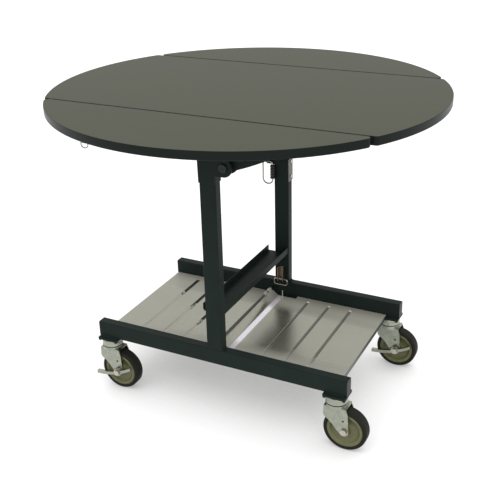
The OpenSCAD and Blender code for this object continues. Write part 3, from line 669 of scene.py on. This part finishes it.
# %% Rounded copies of tubes, plates and lugs
edge_rounding = {
    "rail_front": 0.6, "rail_rear": 0.6, "rail_end_caps": 1.2, "mounting_plates": 0.8,
    "post_front": 0.5, "post_rear": 0.5, "cross_channel": 0.6, "head_front": 0.7,
    "head_rear": 0.7, "shelf_rod": 0.4, "rod_brackets": 0.7, "shelf_rests": 0.6,
    "tilt_arm_front": 0.7, "tilt_arm_rear": 0.7, "crossbars": 0.4, "king_pins": 0.5,
    "rest_pads": 1.6,
}
for node, width in edge_rounding.items():
    rounded(node, width)
rounded("tilt_pins", 0.8, material=blackened)
print("rounded:", len(edge_rounding) + 1)

# %% [markdown]
# The frame is welded before it is coated, and the weld's ripples show through the coat. A
# weld is a row of small overlapping drops, so one squashed sphere is repeated along each run
# by an Array modifier. The runs lie in the corners between the welded parts, half sunk in.

# %% Weld beads
def weld(name, body, runs, radius=2.0):
    """Rows of weld ripples between pairs of points in mm, joined into one piece."""
    pitch = 0.8 * radius
    seams = []
    for start, end in runs:
        start, end = Vector(start), Vector(end)
        bpy.ops.object.select_all(action="DESELECT")
        bpy.ops.mesh.primitive_uv_sphere_add(segments=10, ring_count=6, radius=radius * mm)
        seam = bpy.context.object
        bpy.ops.object.mode_set(mode="EDIT")
        bpy.ops.transform.resize(value=(0.75, 1, 1), center_override=(0, 0, 0))
        done()
        apply_modifier(seam, "ARRAY", count=int((end - start).length / pitch) + 1,
                       use_relative_offset=False, use_constant_offset=True,
                       constant_offset_displace=(pitch * mm, 0, 0))
        seam.rotation_euler = (end - start).to_track_quat("X", "Z").to_euler()
        seam.location = start * mm
        bpy.ops.object.transform_apply(location=True, rotation=True, scale=True)
        seams.append(seam)
    only(*seams)
    bpy.ops.object.join()
    seams[0].name = seams[0].data.name = name
    smooth(seams[0], angle=60)
    place(seams[0], body, "black_paint")


def box_mm(node):
    """Lowest and highest corner of a CAD node, in mm."""
    return tuple(Vector(corner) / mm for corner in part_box(node))


signs = (-1, 1)
rail_low, rail_high = box_mm("rail_rear")
post_high = box_mm("post_rear")[1]
channel_low, channel_high = box_mm("cross_channel")
rail_y = (rail_low.y + rail_high.y) / 2
tube_half = (rail_high.y - rail_low.y) / 2
caster_x = 304
sink = 0.5                       # how far a bead's middle lies from the corner

runs = []
for sy in signs:
    for sx in signs:
        post_side = sx * (post_high.x + sink)
        runs.append(((post_side, sy * rail_y - 10, rail_high.z + sink),
                     (post_side, sy * rail_y + 10, rail_high.z + sink)))
        for side in signs:
            y = sy * rail_y + side * (tube_half + sink)
            runs.append(((sx * caster_x - 21, y, rail_low.z + sink),
                         (sx * caster_x + 21, y, rail_low.z + sink)))
    inner = sy * (channel_high.y - sink)
    runs.append(((channel_low.x + 4, inner, channel_low.z - sink),
                 (channel_high.x - 4, inner, channel_low.z - sink)))
weld("frame_welds", "frame", runs)

arm_web = 3
bar_low, bar_high = box_mm("crossbars")
bar_w = bar_high.z - bar_low.z
runs = []
for sy in signs:
    web = sy * (rail_y - arm_web - sink)
    for sx in signs:
        bar_x = sx * (bar_high.x - bar_w / 2)
        runs.append(((bar_x - 8, web, bar_low.z - sink), (bar_x + 8, web, bar_low.z - sink)))
        for side in signs:
            edge = bar_x + side * (bar_w / 2 + sink)
            runs.append(((edge, web, bar_low.z + 2), (edge, web, bar_high.z - 2)))
    for start in (-160, -60, 110, 225):
        for side in signs:
            y = sy * rail_y + side * (arm_web + sink)
            runs.append(((start, y, bar_high.z - sink), (start + 28, y, bar_high.z - sink)))
weld("arm_welds", "top", runs)
print("welds done; crossbars", [round(c, 1) for c in bar_low])

# %% [markdown]
# ## Screws and bolts
# The hinge plates and the arms are held to the boards by cross-head screws. One head is made
# from a cylinder: its lower rim is bevelled into a dome, a smaller face is inset in it, some
# of that face's corners are pulled in to leave a cross, and the cross is pushed into the head.

# %% A cross-head screw
def screw_head(radius, height):
    """A domed head that hangs below the origin, with a cross recess. Sizes in mm."""
    bpy.ops.object.select_all(action="DESELECT")
    bpy.ops.mesh.primitive_cylinder_add(vertices=24, radius=radius * mm, depth=height * mm,
                                        location=(0, 0, -height / 2 * mm))
    head = bpy.context.object
    bpy.ops.object.transform_apply(location=True, rotation=True, scale=True)
    dome, recess = 0.6 * height, 0.55 * radius
    bevel_edges(head, lambda a, b: a.z < 0.01 - height and b.z < 0.01 - height, dome, 3)
    edit(head, "polygons", lambda f: f.normal.z < -0.99)
    bpy.ops.mesh.inset(thickness=(radius - dome - recess) * mm)
    done()
    edit(head, "vertices", lambda v: v.co.z < (0.01 - height) * mm
         and hypot(v.co.x, v.co.y) < (recess + 0.05) * mm
         and 22 < abs(atan2(v.co.y, v.co.x) * 180 / pi) % 90 < 68)
    bpy.ops.transform.resize(value=(0.42, 0.42, 1), center_override=(0, 0, 0))
    done()
    edit(head, "polygons", lambda f: f.normal.z < -0.99
         and hypot(f.center.x, f.center.y) < 0.2 * radius * mm)
    bpy.ops.mesh.extrude_region_move(TRANSFORM_OT_translate={"value": (0, 0, 0.55 * height * mm)})
    done()
    smooth(head)
    return head


def repeated(piece, name, spots):
    """A copy of piece at each spot in mm, each with its own mesh, joined into one piece."""
    made = []
    for spot in spots:
        only(piece)
        bpy.ops.object.duplicate()
        copy = bpy.context.object
        copy.location = Vector(spot) * mm
        bpy.ops.object.transform_apply(location=True, rotation=True, scale=True)
        made.append(copy)
    bpy.data.objects.remove(piece)
    only(*made)
    bpy.ops.object.join()
    made[0].name = made[0].data.name = name
    return made[0]


screw_low = box_mm("frame_screws")[0]
flange_z = screw_low.z + 2
spots = [(x, sy * rail_y + y, flange_z) for sy in signs for x in (-235, -125, 135, 255)
         for y in (-9, 9)]
arm_screws = repeated(screw_head(5, 2), "arm_screws", spots)
place(arm_screws, "top", "zinc", "frame_screws")
print("arm screws:", len(spots), "box", [round(c, 1) for c in screw_low])

# %% Hinge plates and their screws
plate_bottom, seam_y = 739.0, 242
hinge_plates = {"center_hinge_plates": ("top", -1, signs), "front_hinge_plates":
                ("front_leaf", 1, (-1,)), "rear_hinge_plates": ("rear_leaf", 1, (1,))}
for node, (body, outward, sides) in hinge_plates.items():
    rounded(node, 0.35)
    spots = [(x + dx, sy * (seam_y + outward * dy), plate_bottom) for sy in sides
             for x in (-260, 0, 260) for dx, dy in ((-22, 22), (22, 22), (0, 12))]
    heads = repeated(screw_head(3.2, 0.7), node.replace("plates", "screws"), spots)
    place(heads, body, "zinc")
    print(node, len(spots), "screws")
frame["nodes"]["hinge_pins"].data.materials.clear()
frame["nodes"]["hinge_pins"].data.materials.append(finishes["zinc"])

# %% [markdown]
# ## Shelf
# Two steel panels meet at a rod. Long beads are pressed into each so that the thin sheet
# doesn't drum or sag. The CAD grooves have upright walls. A press can't make those, so the
# floor of each groove is scaled narrower, which leans its walls, and their edges are rounded.
# All faces inside a groove carry the sheet with painted shade, and so does the flat of the left
# panel, whose painted shade spreads past the beads. The outer face of the bent edge takes the
# dark drawn steel as painted shade. A white nylon rivet closes the rear end of each bead on the
# right panel, and its white is a painted highlight for the glint there.

# %% Pressed panels
top_z, depth, gauge = 146.0, 1.25, 1.5     # of the sheet's upper face, the beads, the steel
bead_half, bead_end_y = 4.5, 160


def pressed_panel(node, lean=2.9):
    """Makes a shelf panel with soft pressed beads and a bent far edge, and returns the beads'
    places along X. All is in mm."""
    panel = merged_copy(node, node + "_pressed")
    low, high = box_mm(node)
    floors = []
    for face in panel.data.polygons:
        z = face.center.z / mm
        groove = face.normal.z > 0.9 and abs(z - (top_z - depth)) < 0.05
        ridge = face.normal.z < -0.9 and abs(z - (top_z - gauge - depth)) < 0.05
        if groove or ridge:
            points = [panel.data.vertices[v].co / mm for v in face.vertices]
            half = [(max(p[i] for p in points) - min(p[i] for p in points)) / 2 for i in (0, 1)]
            if half[0] < 10:
                floors.append((face.center.copy(), half))
    for centre, half in floors:
        edit(panel, "polygons", lambda f: (f.center - centre).length < 0.01 * mm)
        bpy.ops.transform.resize(value=(1 - lean / half[0], 1 - lean / half[1], 1),
                                 center_override=centre)
        done()
    bead_x = sorted({round(centre.x / mm, 1) for centre, half in floors})
    bevel_edges(panel, lambda a, b: all(
        abs(p.y) < bead_end_y and min(abs(p.x - x) for x in bead_x) < bead_half + 1
        and abs(p.z - top_z) < 2 * gauge for p in (a, b)), 0.5, 3)
    far = low.x if node == "shelf_left" else high.x
    bevel_edges(panel, lambda a, b: abs(a.x - far) < 0.05 and abs(b.x - far) < 0.05
                and a.z > top_z - 0.05 and b.z > top_z - 0.05, 1.2, 4)
    soften(panel, 0.25, segments=2, angle=40)
    place(panel, body_of(node), slot_of[node], node)
    panel.data.materials.append(bead_shade_sheet)
    panel.data.materials.append(wire)
    for face in panel.data.polygons:
        x, y, z = face.center / mm
        in_bead = (top_z - depth - 0.1 < z < top_z - 0.1 and abs(y) < bead_end_y - 1
                   and min(abs(x - at) for at in bead_x) < bead_half)
        # The far flange's outer face takes the dark drawn steel: painted shade on the bent edge.
        if abs(face.normal.x) > 0.8 and abs(x - far) < gauge:
            face.material_index = 2
        # Faces in the beads, and the left panel's flat, take the sheet with painted shade.
        elif face.normal.z > 0 and (in_bead or (node == "shelf_left" and z > top_z - 0.1)):
            face.material_index = 1
    print(node, "beads at x", bead_x, "faces", len(panel.data.polygons))
    return bead_x


beads = {node: pressed_panel(node) for node in ("shelf_left", "shelf_right")}
for node in beads:
    rounded(node + "_knuckles", 0.3)

# %% Rivets at the rear ends of the right panel's beads
bpy.ops.object.select_all(action="DESELECT")
bpy.ops.mesh.primitive_uv_sphere_add(segments=24, ring_count=12, radius=4 * mm)
rivet = bpy.context.object
bpy.ops.object.mode_set(mode="EDIT")
bpy.ops.transform.resize(value=(1, 1, 0.5), center_override=(0, 0, 0))
done()
smooth(rivet, angle=60)
rivets = repeated(rivet, "bead_rivets",
                  [(x, bead_end_y + 0.5, top_z) for x in beads["shelf_right"]])
# White domes at the beads' rear ends: a painted highlight for the glints there.
place(rivets, "right_shelf", "shelf_steel", material=glint_white_nylon)
print("rivets:", len(beads["shelf_right"]))

# %% [markdown]
# ## Casters
# A caster is a small machine: a rolled race under the plate, a ring of balls, a stamped fork
# that swivels under it, and a tyre on a moulded hub. Race, hub and tyre are turned shapes, so
# their section is drawn once, point by point, and spun round its axis.

# %% Helper that turns a section into a ring
def turned(name, section, axis, centre, steps=96):
    """A ring spun from (radius, along) points in mm round the Y or Z axis through centre."""
    bpy.ops.object.select_all(action="DESELECT")
    bpy.ops.mesh.primitive_plane_add(size=1 * mm)
    ring = bpy.context.object
    ring.name = ring.data.name = name
    edit(ring, "vertices", lambda v: v.index > 0)
    bpy.ops.mesh.delete(type="VERT")
    spun = [Vector((r, a, 0)) if axis == "Y" else Vector((r, 0, a)) for r, a in section]
    here = Vector((-0.5, -0.5, 0))
    bpy.ops.mesh.select_all(action="SELECT")
    bpy.ops.transform.translate(value=(spun[0] - here) * mm)
    for first, second in zip(spun, spun[1:]):
        step = (second - first) * mm
        bpy.ops.mesh.extrude_vertices_move(TRANSFORM_OT_translate={"value": step})
    bpy.ops.mesh.select_all(action="SELECT")
    bpy.ops.mesh.spin(steps=steps, angle=2 * pi, center=(0, 0, 0),
                      axis=(0, 1, 0) if axis == "Y" else (0, 0, 1))
    bpy.ops.mesh.select_all(action="SELECT")
    bpy.ops.mesh.remove_doubles(threshold=0.005 * mm)
    bpy.ops.mesh.normals_make_consistent(inside=False)
    bpy.ops.transform.translate(value=Vector(centre) * mm)
    done()
    smooth(ring)
    return ring


def mirrored(half):
    """A closed section from the points of its lower half, mirrored in along = 0."""
    whole = half + [(r, -a) for r, a in reversed(half)]
    return whole + [whole[0]]


corners = {"front_left": (-1, -1), "front_right": (1, -1), "rear_left": (-1, 1),
           "rear_right": (1, 1)}
wheel_x, wheel_z = 24.5, 52.5     # of the axle, from the swivel axis and from the floor
print("wheel box:", [round(c, 1) for c in box_mm("tyre_front_left")[0]])

# %% [markdown]
# The upper race is a cup, pressed from sheet and rolled in at the waist, so light gathers in
# a bright ring at its shoulder and again at its lower lip. The nut and balls inside are hardly
# seen, and keep their CAD shape.

# %% Rolled bearing races
race_section = [(6.05, 134), (21.5, 134), (23.2, 133.4), (24, 132), (24, 122.2), (24.4, 121.3),
                (25.2, 121), (25.9, 121.6), (26, 123), (25.6, 124.2), (25.1, 125.4),
                (25.1, 129.6), (25.5, 131), (25.9, 132.2), (26, 133.8), (25.6, 135.4),
                (24.6, 136.6), (23, 137), (6.05, 137), (6.05, 134)]
race = turned("race", race_section, "Z", (0, 0, 0))
races = repeated(race, "caster_races_rolled",
                 [(sx * caster_x, sy * rail_y, 0) for sx, sy in corners.values()])
place(races, "frame", "zinc", "caster_races")
frame["nodes"]["race_balls"].data.materials.clear()
frame["nodes"]["race_balls"].data.materials.append(nickel)
print("races:", len(races.data.polygons), "faces")

# %% [markdown]
# The fork is stamped from one sheet. To stiffen its legs the press sinks their middle and
# leaves a raised border, also round the holes. Inset with a negative depth does just that to
# the outer face of each leg.

# %% Stamped forks
half_fork = 19.5
for corner, (sx, sy) in corners.items():
    fork = merged_copy("fork_" + corner, f"fork_{corner}_stamped")
    outer = (half_fork - 0.1) * mm
    count = edit(fork, "polygons", lambda f: abs(f.normal.y) > 0.99
                 and abs(f.center.y - sy * rail_y * mm) > outer
                 and abs(f.center.y - sy * rail_y * mm) < (half_fork + 0.1) * mm)
    bpy.ops.mesh.inset(thickness=2.6 * mm, depth=-0.9 * mm, use_boundary=True)
    done()
    soften(fork, 0.55, segments=3)
    place(fork, "swivel_" + corner, "zinc", "fork_" + corner)
    print(corner, "leg faces:", count)

# %% [markdown]
# The hub is moulded nylon, dished between its rim and the bearing boss so that it cools
# evenly and saves weight. The tyre is a flat tread with round shoulders, a raised ring where
# it meets the hub, and a shallow groove that marks the edge of the tread.

# %% Hubs and tyres
hub_half = [(5.05, -16.5), (10.4, -16.5), (11.6, -15.9), (12.2, -14.4), (12.6, -9.5),
            (13.6, -6.6), (15.8, -5.0), (19.5, -4.2), (24.5, -4.0), (28.5, -4.6),
            (31.6, -6.4), (33.8, -9.0), (35.0, -11.4), (36.2, -12.7), (37.6, -13),
            (40.2, -13), (40.7, -12.5), (41.3, -12.5), (41.8, -13), (42.6, -13), (43, -12.6)]
tyre_half = [(43, -12.6), (43.2, -13.6), (44.2, -14.6), (45.6, -15), (46.8, -14.8),
             (47.3, -14.3), (48.2, -14.3), (49.6, -13.9), (50.9, -12.9), (51.5, -11.9),
             (51.6, -11.4), (52.1, -10.8), (52.3, -9.5), (52.4, -5), (52.5, -0.5)]
for corner, (sx, sy) in corners.items():
    centre = (sx * caster_x + wheel_x, sy * rail_y, wheel_z)
    hub = turned(f"hub_{corner}_dished", mirrored(hub_half), "Y", centre)
    place(hub, "wheel_" + corner, "hub", "hub_" + corner)
    tyre = turned(f"tyre_{corner}_moulded", mirrored(tyre_half), "Y", centre)
    place(tyre, "wheel_" + corner, "tyre", "tyre_" + corner)
print("wheel faces:", len(hub.data.polygons) + len(tyre.data.polygons))

# %% Axles, nuts and brake levers
for corner, (sx, sy) in corners.items():
    axle = rounded("axle_" + corner, 0.6)
    axle.data.materials.append(nickel)
    for face in axle.data.polygons:
        if abs(face.center.y / mm - sy * rail_y) > half_fork + 0.2:
            face.material_index = 1
for corner in ("front_left", "rear_right"):
    rounded("brake_" + corner, 2.2, segments=4)
print("axles:", len(corners))

# %% [markdown]
# Each mounting plate is bolted through its four corners, outside the race. A hexagonal head
# is a six-sided cylinder whose upper edges are bevelled, with a round washer face under it.

# %% Plate bolts
bpy.ops.object.select_all(action="DESELECT")
bpy.ops.mesh.primitive_cylinder_add(vertices=6, radius=4.0 * mm, depth=3 * mm,
                                    location=(0, 0, -1.5 * mm))
bolt = bpy.context.object
bpy.ops.object.transform_apply(location=True, rotation=True, scale=True)
edit(bolt, "polygons", lambda f: f.normal.z < -0.99)
bpy.ops.mesh.inset(thickness=0.7 * mm)
bpy.ops.transform.translate(value=(0, 0, -0.6 * mm))
done()
soften(bolt, 0.3, segments=2)
plate_z = box_mm("mounting_plates")[0].z
bolt_x, bolt_y = 23.4, 19.6       # from the middle of the plate
spots = [(sx * caster_x + dx, sy * rail_y + dy, plate_z) for sx, sy in corners.values()
         for dx in (-bolt_x, bolt_x) for dy in (-bolt_y, bolt_y)]
bolts = repeated(bolt, "plate_bolts", spots)
place(bolts, "frame", "black_paint", material=blackened)
print("bolts:", len(spots))

# %% [markdown]
# ## Catches and pull
# The wire forms are drawn rod, so they keep the round section of the CAD tubes and need only
# smooth shading. The strap on the rear post is coated with the frame and its side rivets are
# bright nickel. What stands in front of its face and its thin edge strip take the dark drawn
# steel, and the rivets in its middle the black coat: painted shade where it lies under the top.
# So its faces take their finish by their place.

# %% Wire forms, clevis, strap and sleeve
rounded("hook_loop", 0, material=nickel)
rounded("catch_bail", 0, material=zinc)
rounded("pull_ring", 0)
for node, width in {"hook_bracket": 0.5, "pull_clip": 0.4, "catch_grip": 0.8}.items():
    rounded(node, width)
strap = rounded("catch_bracket", 0.4, material=finishes["black_paint"])
strap.data.materials.append(wire)
strap.data.materials.append(nickel)
post_side, strap_face = post_high.x, 178
for face in strap.data.polygons:
    x, y, z = face.center / mm
    # The dark drawn steel on the front and the black coat on the middle rivets are painted shade.
    if abs(x) < 5 and y < strap_face - 0.1:
        face.material_index = 0
    elif x > post_side + 2.1:
        face.material_index = 2
    elif y < strap_face - 0.1 or (x > post_side + 0.5 and y > strap_face + 3.2):
        face.material_index = 1
print("strap faces:", len(strap.data.polygons))
